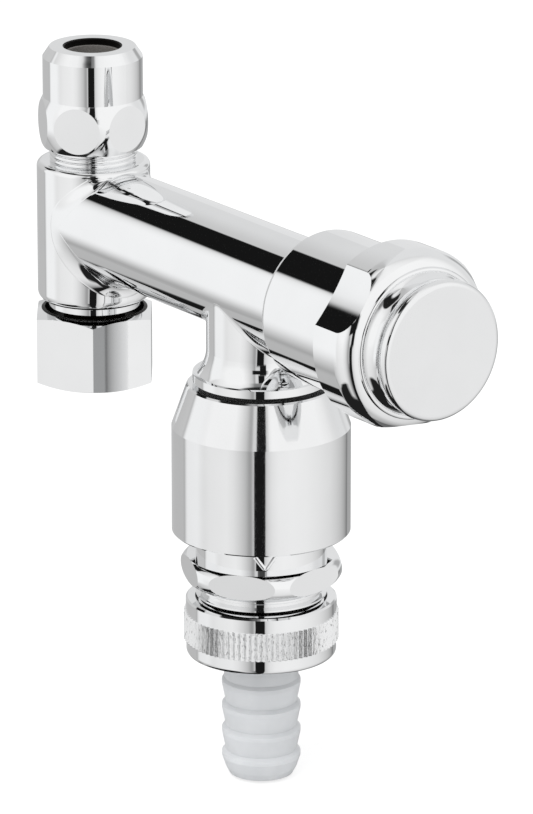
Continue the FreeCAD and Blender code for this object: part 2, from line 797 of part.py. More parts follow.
def valve_washer(doc, s):
    high = s.seat_place + s.washer_thickness
    return ring_body(doc, "valve_washer", s.screw_radius + s.seat_gap, s.washer_radius,
                     s.seat_place + s.seat_gap, high, **along(s))


def headed_screw(doc, name, s, seat, facing, **where):
    """Pan head screw whose head sits on a seat; its shank runs with or against the body's own Z."""
    body = new_body(doc, name, **where)
    head = seat + s.screw_head_height * facing
    tip = seat - s.screw_length * facing
    slot_floor = seat + s.screw_head_height * (0.45 * facing)
    revolve(body, name + "_blank", [
        (0, tip), (s.screw_radius - 0.5, tip), (s.screw_radius, tip + 0.5 * facing), (s.screw_radius, seat),
        (s.screw_head_radius, seat), (s.screw_head_radius, slot_floor), (s.screw_head_radius * 0.6, head),
        (0, head)])
    sketch = new_sketch(body, name + "_slot_outline", "XZ_Plane")
    half = s.screw_radius * 0.2
    past = head + 0.5 * facing
    add_outline(sketch, [(as_size(0) - half, slot_floor), (half, slot_floor), (half, past),
                         (as_size(0) - half, past)])
    pocket_all(body, name + "_slot", sketch)
    return body


def washer_screw(doc, s):
    return headed_screw(doc, "washer_screw", s, s.seat_place + s.seat_gap, -1.0, **along(s))


def cap_radius(s):
    return s.knob_radius - s.cap_inset


def cove_centre_radius(s):
    """Distance from the axis to the middle of the cove's round section, which the shell and cap share."""
    return cap_radius(s) + s.cove_lift


def knob_recess_radius(s):
    return cap_radius(s) - s.knob_recess_inset


def cap_bore_radius(s):
    return knob_recess_radius(s) - s.seat_gap - s.cap_wall


def hub_radius(s):
    return knob_recess_radius(s) - s.hub_inset


def knob_shell(doc, s):
    """Handle: skirt with three finger scoops, rounded shoulder, small lip and the rear half of the cove."""
    body = new_body(doc, "knob_shell", turn=KNOB_TURN, **along(s))
    web_bore = hub_radius(s) + s.seat_gap
    bore = s.boss_radius + s.knob_bore_gap
    recess = knob_recess_radius(s)
    middle = cove_centre_radius(s)
    angle = math.radians(COVE_REAR_ANGLE)
    lip = middle - s.cove_radius * math.cos(angle)
    lip_top = s.cove_place - s.cove_radius * math.sin(angle)
    revolve(body, "knob_blank", [
        (bore, s.knob_start), (s.knob_radius, s.knob_start),
        (s.knob_radius, s.knob_shoulder - s.knob_shoulder_length, s.knob_shoulder_rounding),
        (s.knob_radius - s.knob_shoulder_width, s.knob_shoulder, s.knob_lip_radius),
        (lip, lip_top, s.cove_radius, "hollow"), (middle - s.cove_radius, s.cove_place),
        (recess, s.cove_place), (recess, s.knob_recess_start),
        (web_bore, s.knob_recess_start), (web_bore, s.knob_bore_end), (bore, s.knob_bore_end)])
    cut_scoops(body, s)
    return body


def cut_scoops(body, s):
    """Three wide shallow scoops round the skirt, parallel to the axis."""
    sketch = new_sketch(body, "scoop_outline", "XY_Plane")
    add_circle(sketch, (s.knob_radius - s.knob_scoop_depth + s.knob_scoop_radius, 0), s.knob_scoop_radius)
    scoop = pocket_all(body, "scoop", sketch)
    polar_copies(body, "scoops", scoop, 3)


def knob_cap(doc, s):
    """Front cap with a plain face, a round rim that runs into the front half of the cove, and a spigot."""
    body = new_body(doc, "knob_cap", **along(s))
    spigot = knob_recess_radius(s) - s.seat_gap
    spigot_wall = cap_bore_radius(s)
    middle = cove_centre_radius(s)
    start = s.cove_place
    rim = (cap_radius(s) - s.cap_rounding, s.cap_front - s.cap_rounding)
    share = s.cap_rounding / (s.cap_rounding + s.cove_radius)
    turn = (rim[0] + (middle - rim[0]) * share, rim[1] + (start - rim[1]) * share)
    revolve(body, "cap_blank", [
        (spigot_wall, start - s.cap_spigot), (spigot, start - s.cap_spigot), (spigot, start),
        (middle - s.cove_radius, start, s.cove_radius, "hollow"), (turn[0], turn[1], s.cap_rounding),
        (rim[0], s.cap_front), (0, s.cap_front), (0, s.cap_front - s.cap_wall),
        (spigot_wall, s.cap_front - s.cap_wall)])
    return body


def knob_hub(doc, s):
    """Splined bush between the stem and the handle."""
    body = new_body(doc, "knob_hub", **along(s))
    start = s.head_gland_end + s.thread_gap * 2 + s.clip_thickness
    cover = s.stem_end + s.thread_gap
    flange = s.knob_recess_start + s.seat_gap
    bore = s.stem_radius + s.seat_gap
    radius = hub_radius(s)
    flange_radius = cap_bore_radius(s) - s.hub_flange_gap
    revolve(body, "hub_bush", [
        (bore, start), (radius, start), (radius, flange), (flange_radius, flange),
        (flange_radius, flange + s.hub_flange_thickness),
        (radius, flange + s.hub_flange_thickness), (radius, cover + s.hub_cover),
        (s.screw_radius + 0.2, cover + s.hub_cover), (s.screw_radius + 0.2, cover), (bore, cover)])
    return body


def knob_screw(doc, s):
    seat = s.stem_end + s.thread_gap + s.hub_cover
    return headed_screw(doc, "knob_screw", s, seat, 1.0, **along(s))


def shroud(doc, s):
    """Outer casing: web on top, cone, then a cylinder open at the bottom."""
    body = new_body(doc, "shroud", **below(s))
    top = s.flange_depth + s.shroud_gap
    hole = s.spigot_bore_radius + s.thread_gap
    inner_rim = s.shroud_rim_radius - s.shroud_wall
    inner = s.shroud_radius - s.shroud_wall
    bevel = s.shroud_wall * 0.25
    revolve(body, "shroud_shell", [
        (hole, top), (s.shroud_rim_radius - bevel, top), (s.shroud_rim_radius, top + bevel),
        (s.shroud_radius, s.shroud_cone_end), (s.shroud_radius, s.shroud_end - bevel),
        (s.shroud_radius - bevel, s.shroud_end), (inner + bevel, s.shroud_end), (inner, s.shroud_end - bevel),
        (inner, s.shroud_cone_end), (inner_rim, top + s.shroud_web), (hole, top + s.shroud_web)])
    return body


def shroud_gasket(doc, s):
    inner = s.spigot_bore_radius + s.thread_gap
    outer = s.flange_radius - 1.2
    return ring_body(doc, "shroud_gasket", inner, outer, s.flange_depth, s.flange_depth + s.shroud_gap,
                     **below(s))


def spigot_top(s):
    """Depth of the outlet body's top end inside the casting."""
    return s.flange_depth - s.spigot_length + s.thread_gap


def cage_start(s):
    return spigot_top(s) + s.cage_inset


def cage_bore_end(s):
    return spigot_top(s) + s.cage_bore_length


def preventer_shoulder(s):
    """Depth where the outlet body's shoulder meets the shroud's web."""
    return s.flange_depth + s.shroud_gap + s.shroud_web


def thread_rings(s, start, end):
    """Outline points of the ringed thread between two depths."""
    points = []
    root = s.hose_thread_radius - s.hose_thread_depth
    count = int((end.value - start.value) / s.hose_thread_pitch.value)
    for index in range(count):
        low = start + s.hose_thread_pitch * index
        points += [(root, low), (root, low + s.hose_thread_pitch * 0.3),
                   (s.hose_thread_radius, low + s.hose_thread_pitch * 0.55),
                   (s.hose_thread_radius, low + s.hose_thread_pitch * 0.75)]
    return points


def outlet_body(doc, s):
    """Body of the backflow preventer with spigot, smooth neck, hexagon collar and hose thread."""
    body = new_body(doc, "outlet_body", turn=-OUTLET_HEX_TURN, **below(s))
    spigot = s.spigot_bore_radius - s.seat_gap
    top = spigot_top(s)
    seal_low = top + s.spigot_seal_inset
    seal_high = seal_low + s.ring_section * 2
    seal_floor = spigot - s.ring_section * 1.0
    collar_end = s.preventer_end + s.collar_height
    flat_corner = s.collar_turned_radius - s.collar_bevel
    revolve(body, "outlet_blank", [
        (s.cage_bore_radius, top), (spigot, top), (spigot, seal_low), (seal_floor, seal_low),
        (seal_floor, seal_high), (spigot, seal_high), (spigot, preventer_shoulder(s)),
        (s.preventer_radius, preventer_shoulder(s)), (s.preventer_radius, s.preventer_end),
        (flat_corner, s.preventer_end, arc_radius(s.collar_height, s.collar_bevel)),
        (flat_corner, collar_end)]
        + thread_rings(s, collar_end, s.hose_thread_end)
        + [(s.hose_thread_radius - s.hose_thread_depth, s.hose_thread_end),
           (s.air_chamber_radius, s.hose_thread_end), (s.air_chamber_radius, cage_bore_end(s)),
           (s.cage_bore_radius, cage_bore_end(s))])
    trim_collar(body, s, collar_end)
    sketch = new_sketch(body, "air_port_outline", "YZ_Plane")
    add_circle(sketch, (0, s.air_port_depth), s.air_port_radius)
    port = body.newObject("PartDesign::Pocket", "air_port")
    port.Profile = sketch
    port.setExpression("Length", (s.preventer_radius + 1).text)
    port.Reversed = True
    polar_copies(body, "air_ports", port, AIR_PORTS)
    return body


def trim_collar(body, s, collar_end):
    """Trim only the collar to a hexagon."""
    sketch = new_sketch(body, "collar_outline", "XY_Plane", {"z": s.preventer_end})
    add_circle(sketch, (0, 0), s.collar_turned_radius + 1)
    add_outline(sketch, hexagon(s.collar_width))
    pocket_up(body, "collar_hexagon", sketch, collar_end - s.preventer_end)


def outlet_seal(doc, s):
    spigot = s.spigot_bore_radius - s.seat_gap
    low = spigot_top(s) + s.spigot_seal_inset
    half = s.ring_section * 0.5
    return seal_body(doc, "outlet_seal", spigot - half, half - s.seat_gap, [low + s.ring_section], **below(s))


def check_cage(doc, s):
    """Cartridge with a mouth above, a bridge below that guides the stem, and a seal groove."""
    body = new_body(doc, "check_cage", **below(s))
    start = cage_start(s)
    end = cage_bore_end(s) - s.thread_gap
    bridge = end - s.cage_bridge
    stem_bore = s.poppet_stem_radius + s.running_gap
    groove_low = start + s.cage_seal_inset
    groove_floor = s.cage_radius - s.ring_section
    revolve(body, "cage_shell", [
        (s.cage_mouth, start), (s.cage_radius, start), (s.cage_radius, groove_low),
        (groove_floor, groove_low), (groove_floor, groove_low + s.ring_section * 2),
        (s.cage_radius, groove_low + s.ring_section * 2), (s.cage_radius, end), (stem_bore, end),
        (stem_bore, bridge), (s.cage_bore, bridge), (s.cage_bore, start + s.cage_top),
        (s.cage_mouth, start + s.cage_top)])
    sketch = new_sketch(body, "cage_hole_outline", "XY_Plane")
    add_circle(sketch, (s.cage_hole_place, 0), s.cage_hole_radius)
    polar_copies(body, "cage_holes", pocket_all(body, "cage_hole", sketch), CAGE_HOLES)
    return body


def check_cage_seal(doc, s):
    half = s.ring_section * 0.5
    height = cage_start(s) + s.cage_seal_inset + s.ring_section
    return seal_body(doc, "check_cage_seal", s.cage_radius - half, half - s.seat_gap, [height], **below(s))


def poppet_top(s):
    return cage_start(s) + s.cage_top + s.poppet_seal_thickness + s.thread_gap


def check_poppet(doc, s):
    """Valve disc on a stem that slides in the cage's bridge."""
    body = new_body(doc, "check_poppet", **below(s))
    top = poppet_top(s)
    disc_end = top + s.poppet_thickness
    boss = s.poppet_stem_radius + 0.5
    revolve(body, "poppet_blank", [
        (0, top - s.poppet_seal_thickness), (boss, top - s.poppet_seal_thickness), (boss, top),
        (s.poppet_radius, top), (s.poppet_radius, disc_end - 0.6), (s.poppet_radius - 0.6, disc_end),
        (s.poppet_stem_radius, disc_end), (s.poppet_stem_radius, disc_end + s.poppet_stem_length),
        (0, disc_end + s.poppet_stem_length)])
    return body


def poppet_seal(doc, s):
    top = poppet_top(s)
    inner = s.poppet_stem_radius + 0.5 + s.seat_gap
    return ring_body(doc, "poppet_seal", inner, s.poppet_radius, top - s.poppet_seal_thickness, top,
                     **below(s))


def check_spring(doc, s):
    """Coil spring between the valve disc and the cage's bridge."""
    body = new_body(doc, "check_spring", **below(s))
    start = poppet_top(s) + s.poppet_thickness + s.spring_wire + s.seat_gap
    end = cage_bore_end(s) - s.thread_gap - s.cage_bridge - s.spring_wire - s.seat_gap
    sketch = new_sketch(body, "wire_section")
    add_circle(sketch, (s.spring_radius, start), s.spring_wire)
    coil = body.newObject("PartDesign::AdditiveHelix", "coil")
    coil.Profile = sketch
    coil.ReferenceAxis = (sketch, ["V_Axis"])
    coil.Mode = 0
    coil.setExpression("Pitch", ((end - start) / s.spring_turns).text)
    coil.setExpression("Height", (end - start).text)
    return body


def air_seat(doc, s):
    """Sleeve with an outer air channel and a pierced top face for the air valve."""
    body = new_body(doc, "air_seat", **below(s))
    outer = s.air_chamber_radius - s.seat_gap
    under = s.air_seat_start + s.air_seat_top
    revolve(body, "air_sleeve", [
        (s.air_seat_bore, s.air_seat_start), (outer, s.air_seat_start), (outer, under),
        (s.air_channel_radius, under), (s.air_channel_radius, s.air_channel_end), (outer, s.air_channel_end),
        (outer, s.air_seat_end), (s.air_seat_bore, s.air_seat_end)])
    sketch = new_sketch(body, "air_hole_outline", "XY_Plane", {"z": s.air_seat_start})
    add_circle(sketch, (s.air_channel_radius + s.air_hole_radius + 0.2, 0), s.air_hole_radius)
    hole = pocket_up(body, "air_hole", sketch, s.air_seat_top)
    polar_copies(body, "air_holes", hole, AIR_PORTS * 2)
    return body


def air_valve_ring(doc, s):
    high = s.air_seat_start - s.seat_gap
    return ring_body(doc, "air_valve_ring", s.air_ring_bore, s.air_ring_radius,
                     high - s.air_ring_thickness, high, **below(s))


def hose_nut(doc, s):
    """Knurled union nut: smooth rings above and below the knurl."""
    rings = new_body(doc, "hose_nut_rings", **below(s))
    bore = s.hose_thread_radius + s.thread_gap
    web = s.hose_nut_end - s.hose_nut_web
    inner = s.knurl_radius - s.knurl_depth - 0.4
    bevel = s.hose_nut_rounding * 0.35
    blank = revolve(rings, "hose_nut_blank", [
        (bore, s.hose_nut_start), (s.hose_nut_top_radius - bevel, s.hose_nut_start),
        (s.hose_nut_top_radius, s.hose_nut_start + bevel), (s.hose_nut_top_radius, s.hose_nut_knurl_start),
        (inner, s.hose_nut_knurl_start), (inner, s.hose_nut_knurl_end),
        (s.hose_nut_bottom_radius, s.hose_nut_knurl_end), (s.hose_nut_bottom_radius, s.hose_nut_end),
        (s.hose_nut_hole, s.hose_nut_end), (s.hose_nut_hole, web), (bore, web)])
    round_ring(doc, rings, "hose_nut_round", blank, s.hose_nut_bottom_radius, s.hose_nut_end,
               s.hose_nut_rounding)
    nut = doc.addObject("Part::Fuse", "hose_nut")
    nut.Label = "hose_nut"
    nut.Base = rings
    nut.Tool = knurl_band(doc, s, inner)
    return nut


def knurl_band(doc, s, inner):
    """A toothed ring: the zigzag outline follows from the number of teeth."""
    teeth = int(s.knurl_teeth.value)
    points = []
    for index in range(teeth * 2):
        angle = math.pi * index / teeth
        radius = s.knurl_radius.value - (s.knurl_depth.value if index % 2 else 0.0)
        points.append(FreeCAD.Vector(radius * math.cos(angle), radius * math.sin(angle), 0))
    outline = Part.makePolygon(points + points[:1])
    hole = Part.Wire(Part.makeCircle(inner.value - 0.3))
    face = Part.makeFace([outline, hole], "Part::FaceMakerBullseye")
    band = doc.addObject("Part::Feature", "hose_nut_knurl")
    band.Shape = face.extrude(FreeCAD.Vector(0, 0, (s.hose_nut_knurl_end - s.hose_nut_knurl_start).value))
    place = FreeCAD.Vector(s.outlet_place.value, 0, (datum(s) + s.barrel_height - s.hose_nut_knurl_start).value)
    band.Placement = FreeCAD.Placement(place, FreeCAD.Rotation(FreeCAD.Vector(0, 1, 0), 180.0))
    return band


def nozzle_gasket(doc, s):
    return ring_body(doc, "nozzle_gasket", s.air_seat_bore, s.nozzle_flange_radius,
                     s.hose_thread_end, s.hose_thread_end + s.nozzle_gasket_thickness, **below(s))


def hose_nozzle(doc, s):
    """Hose tail: flange inside the nut, then barbs that taper away from the nut."""
    body = new_body(doc, "hose_nozzle", **below(s))
    flange_top = s.hose_thread_end + s.nozzle_gasket_thickness
    flange_end = s.hose_nut_end - s.hose_nut_web - s.thread_gap
    points = [(s.nozzle_bore, flange_top), (s.nozzle_flange_radius, flange_top),
              (s.nozzle_flange_radius, flange_end), (s.nozzle_neck_radius, flange_end)]
    previous = s.nozzle_neck_radius
    for index in range(int(s.barb_count.value)):
        ridge = s.barb_start + s.barb_pitch * index
        points += [(previous, ridge - s.barb_step), (s.barb_ridge_radius, ridge),
                   (s.barb_ridge_radius, ridge + s.barb_land)]
        previous = s.barb_valley_radius
    points += [(s.barb_valley_radius, s.nozzle_end - s.nozzle_tip_length),
               (s.nozzle_tip_radius, s.nozzle_end), (s.nozzle_bore, s.nozzle_end)]
    revolve(body, "nozzle_blank", points)
    return body


def build_tap(doc):
    """Every piece of the tap, in the order in which it goes together."""
    s = make_sheet(doc)
    seal_places = stem_seal_places(s)
    return [
        body_casting(doc, s), inlet_tailpiece(doc, s), inlet_gasket(doc, s), inlet_union_nut(doc, s),
        compression_nut(doc, s), pipe_seal(doc, s), pipe_olive(doc, s),
        headpart_body(doc, s), headpart_seal(doc, s), spindle(doc, s), spindle_clip(doc, s),
        spindle_seal(doc, s, "spindle_seal_rear", seal_places[0]),
        spindle_seal(doc, s, "spindle_seal_front", seal_places[1]),
        valve_plunger(doc, s), valve_washer(doc, s), washer_screw(doc, s),
        knob_shell(doc, s), knob_cap(doc, s), knob_hub(doc, s), knob_screw(doc, s),
        shroud(doc, s), shroud_gasket(doc, s), outlet_body(doc, s), outlet_seal(doc, s),
        check_cage(doc, s), check_cage_seal(doc, s), check_poppet(doc, s), poppet_seal(doc, s),
        check_spring(doc, s), air_seat(doc, s), air_valve_ring(doc, s),
        hose_nut(doc, s), nozzle_gasket(doc, s), hose_nozzle(doc, s)]


def check_piece(piece):
    """Stop if a piece or one of its features failed."""
    for item in [piece] + list(getattr(piece, "Group", [])):
        if "Invalid" in item.State or "Error" in item.State:
            raise RuntimeError("%s failed in %s" % (item.Name, piece.Label))
    if piece.Shape.isNull() or not piece.Shape.isValid() or not piece.Shape.Solids:
        raise RuntimeError("no sound solid in " + piece.Label)


def main():
    doc = FreeCAD.newDocument("washing_machine_tap")
    pieces = build_tap(doc)
    doc.recompute()
    os.makedirs("parts", exist_ok=True)
    for piece in pieces:
        check_piece(piece)
        piece.Shape.exportStep("parts/%s.step" % piece.Label)
    print("exported %d pieces" % len(pieces))


main()
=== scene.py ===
import json
import math

import bpy
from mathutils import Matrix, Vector


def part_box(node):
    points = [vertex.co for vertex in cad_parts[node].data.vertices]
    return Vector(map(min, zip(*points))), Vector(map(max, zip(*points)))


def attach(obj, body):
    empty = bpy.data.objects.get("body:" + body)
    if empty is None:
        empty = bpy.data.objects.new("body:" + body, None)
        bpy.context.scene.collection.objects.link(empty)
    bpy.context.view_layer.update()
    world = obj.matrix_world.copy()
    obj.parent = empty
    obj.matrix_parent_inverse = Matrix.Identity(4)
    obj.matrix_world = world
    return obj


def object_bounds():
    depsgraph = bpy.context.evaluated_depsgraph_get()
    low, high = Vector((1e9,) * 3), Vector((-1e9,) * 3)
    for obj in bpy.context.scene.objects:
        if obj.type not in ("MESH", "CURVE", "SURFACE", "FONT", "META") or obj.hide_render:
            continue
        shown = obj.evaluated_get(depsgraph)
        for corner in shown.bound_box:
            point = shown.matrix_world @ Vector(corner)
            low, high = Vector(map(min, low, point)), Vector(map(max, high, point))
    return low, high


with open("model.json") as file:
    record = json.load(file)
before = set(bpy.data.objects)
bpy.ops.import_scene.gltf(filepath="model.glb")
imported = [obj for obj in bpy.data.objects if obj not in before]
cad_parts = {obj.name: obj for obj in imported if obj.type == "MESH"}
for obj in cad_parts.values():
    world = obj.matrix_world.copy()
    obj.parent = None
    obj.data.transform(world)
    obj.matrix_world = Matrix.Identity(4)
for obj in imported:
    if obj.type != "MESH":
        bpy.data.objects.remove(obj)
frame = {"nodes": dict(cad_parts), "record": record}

MM = 0.001
CAD_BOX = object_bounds()


def middle(node):
    """Centre of a CAD node's box."""
    low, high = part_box(node)
    return (low + high) / 2


BARREL_HEIGHT = middle("spindle").z
OUTLET_PLACE = middle("outlet_body").x
LEG_PLACE = 0.0

# The casting's cylinders, and how far above the barrel's axis the straight side of the leg ends
LEG_RADIUS = 11.65 * MM
BARREL_RADIUS = 11.45 * MM
NECK_RADIUS = 11.0 * MM
LEG_SIDE_TOP = 10.85 * MM

# Radii within which the hollows of the nuts and of the outlet are painted dark as shade
UNION_MOUTH = 11.0 * MM
PIPE_MOUTH = 5.8 * MM
OUTLET_HOLLOW = 10.0 * MM
HOSE_NUT_MOUTH = 13.4 * MM

# The knurled band, measured down from the top of the hose nut
KNURL_START = 3.0 * MM
KNURL_END = 8.9 * MM

# Blend where the barrel leaves the leg: open at the top, wider below than above
LEG_BLEND_START = math.radians(19.0)
LEG_BLEND_WIDTH = 3.6 * MM
LEG_BLEND_EXTRA = 3.2 * MM
LEG_BLEND_SMALLEST = 0.03 * MM
LEG_BLEND_ROWS = 220
LEG_BLEND_STEPS = 12

# Blend where the outlet neck leaves the barrel
NECK_BLEND_RADIUS = 2.4 * MM
NECK_BLEND_ROWS = 160
NECK_BLEND_STEPS = 10

# How far the edges of a blend are sunk into the casting
TUCK = 0.03 * MM

# Arrow on the outlet body: it faces the photo's camera and a little to the right of it
ARROW_REACH = 13.3 * MM
ARROW_RISE = 0.14 * MM
ARROW_SUNK = 0.05 * MM
ARROW_HALF_WIDTH = 2.1 * MM
ARROW_ARM = 0.42 * MM
ARROW_LEAN = 0.8
ARROW_CREST = 0.45
ARROW_TOP = BARREL_HEIGHT - 53.55 * MM
ARROW_TIP = BARREL_HEIGHT - 56.3 * MM
ARROW_TURN = 0.06
ARROW_STEPS = 12

# Camera: a long lens, seen from the front right and a little above
CAMERA_AZIMUTH = 53.78
CAMERA_ELEVATION = 17.73
CAMERA_DISTANCE = 1.3146
CAMERA_LENS = 291.85
CAMERA_TARGET = Vector((63.28, -2.33, 6.97)) * MM
CAMERA_REACH = 20.0

# Soft lamp: azimuth, elevation, distance, size and power
LAMP = (20.0, 55.0, 1.2, 0.8, 6.0)

# Floor: gap below the hose tail, half its width, its tone, and the tone and glow that the camera sees
FLOOR_GAP = 0.6 * MM
FLOOR_HALF = 1.5
FLOOR_TONE = 0.9
FLOOR_SEEN_TONE = 0.35
FLOOR_GLOW = 0.75

# Level of the studio for all light that isn't mirrored
SOFT_LEVEL = 0.85

bpy.context.scene.view_settings.view_transform = "Standard"


def direction(azimuth, elevation):
    """Unit vector towards an azimuth, nought in front and growing to the right, and an elevation, in degrees."""
    a = math.radians(azimuth)
    e = math.radians(elevation)
    return Vector((math.sin(a) * math.cos(e), -math.cos(a) * math.cos(e), math.sin(e)))


def aim(item, toward, distance):
    """Put a camera or lamp at a distance from the target, looking back at it."""
    bpy.context.scene.collection.objects.link(item)
    item.location = CAMERA_TARGET + toward * distance
    item.rotation_euler = toward.to_track_quat("Z", "Y").to_euler()


def make_camera():
    data = bpy.data.cameras.new("camera")
    data.lens = CAMERA_LENS
    data.clip_end = CAMERA_REACH
    camera = bpy.data.objects.new("camera", data)
    aim(camera, direction(CAMERA_AZIMUTH, CAMERA_ELEVATION), CAMERA_DISTANCE)
    bpy.context.scene.camera = camera


def make_lamp(name, azimuth, elevation, distance, size, power):
    """A soft area lamp that faces the tap and isn't mirrored in it."""
    data = bpy.data.lights.new(name, "AREA")
    data.energy = power
    data.size = size
    lamp = bpy.data.objects.new(name, data)
    aim(lamp, direction(azimuth, elevation), distance)
    lamp.visible_glossy = False


class Graph:
    """A small helper that adds nodes and links them."""

    def __init__(self, tree):
        self.tree = tree
        self.tree.nodes.clear()

    def node(self, kind, **settings):
        made = self.tree.nodes.new(kind)
        for name, value in settings.items():
            setattr(made, name, value)
        return made

    def link(self, source, target):
        self.tree.links.new(source, target)

    def maths(self, operation, first, second=None):
        """One sum; each item is a socket or a number."""
        made = self.node("ShaderNodeMath", operation=operation)
        for index, item in enumerate((first, second)):
            if item is None:
                continue
            if isinstance(item, (int, float)):
                made.inputs[index].default_value = item
            else:
                self.link(item, made.inputs[index])
        return made.outputs[0]

    def ramp(self, value, low, high, start=0.0, end=1.0):
        """A smooth step from low to high."""
        made = self.node("ShaderNodeMapRange", interpolation_type="SMOOTHSTEP")
        self.link(value, made.inputs["Value"])
        made.inputs["From Min"].default_value = low
        made.inputs["From Max"].default_value = high
        made.inputs["To Min"].default_value = start
        made.inputs["To Max"].default_value = end
        return made.outputs["Result"]

    def mix(self, factor, first, second):
        """Mix two colours, each a socket or a triple, by a socket."""
        made = self.node("ShaderNodeMix", data_type="RGBA")
        self.link(factor, made.inputs[0])
        for index, item in ((6, first), (7, second)):
            if isinstance(item, tuple):
                made.inputs[index].default_value = item + (1.0,)
            else:
                self.link(item, made.inputs[index])
        return made.outputs[2]

    def mix_shaders(self, factor, first, second):
        """Mix two shaders by a socket."""
        made = self.node("ShaderNodeMixShader")
        self.link(factor, made.inputs[0])
        self.link(first, made.inputs[1])
        self.link(second, made.inputs[2])
        return made.outputs[0]

    def finish(self, shader):
        output = self.node("ShaderNodeOutputMaterial")
        self.link(shader, output.inputs["Surface"])


def grey(level):
    """A very slightly cool grey."""
    return (level, level * 1.005, level * 1.01)


# Brightness of the studio round the horizon: degrees to the right of the camera as the tap sees it, level
HORIZON = [
    (-180, 0.52), (-120, 0.54), (-116.5, 0.43), (-113, 0.58), (-105, 0.67), (-90, 0.78), (-70, 0.88),
    (-45, 0.92), (-36, 0.85), (-28, 0.72), (-20, 0.55), (-15, 0.36), (-12, 0.38), (-10.5, 0.62),
    (6, 0.6), (9, 0.74), (14, 0.85), (22, 0.93), (40, 0.96), (60, 0.94), (80, 0.88), (100, 0.80),
    (112, 0.71), (124, 0.60), (134, 0.46), (140, 0.34), (146, 0.07), (155, 0.06), (163, 0.18), (172, 0.45)]

# How that brightness changes with height: degrees above the horizon, factor
HEIGHT_GAIN = [(-90, 0.50), (-72, 0.60), (-60, 0.85), (-42, 0.92), (-31, 0.95), (-26, 0.97),
               (-20, 0.98), (-5, 1.06), (2, 1.12), (15, 1.17), (40, 1.15), (50, 1.02), (90, 0.98)]

# The factor is stored at this scale, because a colour ramp holds no more than one
GAIN_SCALE = 0.5

# Panels and flags, each laid over those before it: level, then the azimuths from and to and the heights
# from and to, each with its softness
PANELS = [
    (0.800, (110.0, 30.0), (200.0, 10.0), (-11.0, 6.0), (95.0, 10.0)),
    (0.740, (-250.0, 30.0), (-158.0, 30.0), (-11.0, 6.0), (95.0, 10.0)),
    (0.560, (-250.0, 20.0), (-158.0, 16.0), (-40.0, 10.0), (8.0, 12.0)),
    (0.400, (145.0, 6.0), (190.0, 4.0), (-36.0, 6.0), (-10.0, 6.0)),
    (0.430, (135.0, 8.0), (149.0, 8.0), (-2.0, 8.0), (21.0, 10.0)),
    (0.970, (-114.0, 10.0), (-84.0, 16.0), (-22.0, 16.0), (27.0, 4.0)),
    (0.120, (-12.5, 5.0), (4.0, 2.0), (-80.0, 1.2), (-24.0, 8.0)),
    (0.010, (-9.0, 1.2), (5.5, 1.2), (-80.0, 1.2), (-7.0, 4.0)),
    (0.010, (-3.0, 1.2), (10.0, 1.2), (-9.0, 4.0), (19.0, 8.0)),
    (0.010, (-6.0, 1.5), (6.5, 1.5), (17.0, 8.0), (43.0, 6.0)),
    (0.010, (-18.5, 4.0), (12.0, 10.0), (3.5, 2.0), (15.0, 2.0)),
    (0.220, (-20.0, 22.0), (8.0, 10.0), (42.0, 6.0), (62.0, 10.0)),
    (0.015, (-128.0, 8.0), (-2.0, 6.0), (52.0, 3.0), (71.0, 6.0)),
    (0.015, (-190.0, 2.0), (-42.0, 24.0), (-95.0, 2.0), (-45.0, 4.0)),
    (0.015, (-60.0, 20.0), (-1.0, 5.0), (-95.0, 2.0), (-62.0, 6.0)),
    (0.150, (145.0, 30.0), (190.0, 2.0), (-95.0, 2.0), (-44.0, 10.0)),
    (0.008, (-143.0, 2.0), (-113.5, 2.0), (28.0, 2.0), (47.0, 2.0)),
    (0.010, (-144.0, 1.5), (-131.0, 1.5), (-42.5, 1.5), (-37.0, 1.5)),
    (0.020, (-178.0, 3.0), (-157.0, 5.0), (-39.0, 3.0), (-27.0, 4.0)),
]


def ramp_of(graph, value, low, high, stops, scale=1.0):
    """A curve through the stops, laid out between low and high."""
    share = graph.node("ShaderNodeMapRange")
    graph.link(value, share.inputs["Value"])
    share.inputs["From Min"].default_value = low
    share.inputs["From Max"].default_value = high
    curve = graph.node("ShaderNodeValToRGB")
    elements = curve.color_ramp.elements
    while len(elements) < len(stops):
        elements.new(0.5)
    for element, (place, level) in zip(elements, stops):
        element.position = (place - low) / (high - low)
        element.color = (level * scale, level * scale, level * scale, 1.0)
    graph.link(share.outputs["Result"], curve.inputs["Fac"])
    return curve.outputs["Color"]


def panel_mask(graph, azimuth, elevation, left, right, bottom, top):
    """One inside a window of azimuth and elevation, nought outside it."""
    edges = []
    for value, (place, soft), start in ((azimuth, left, 0.0), (azimuth, right, 1.0),
                                        (elevation, bottom, 0.0), (elevation, top, 1.0)):
        edges.append(graph.ramp(value, place - soft / 2, place + soft / 2, start, 1.0 - start))
    mask = edges[0]
    for edge in edges[1:]:
        mask = graph.maths("MULTIPLY", mask, edge)
    return mask


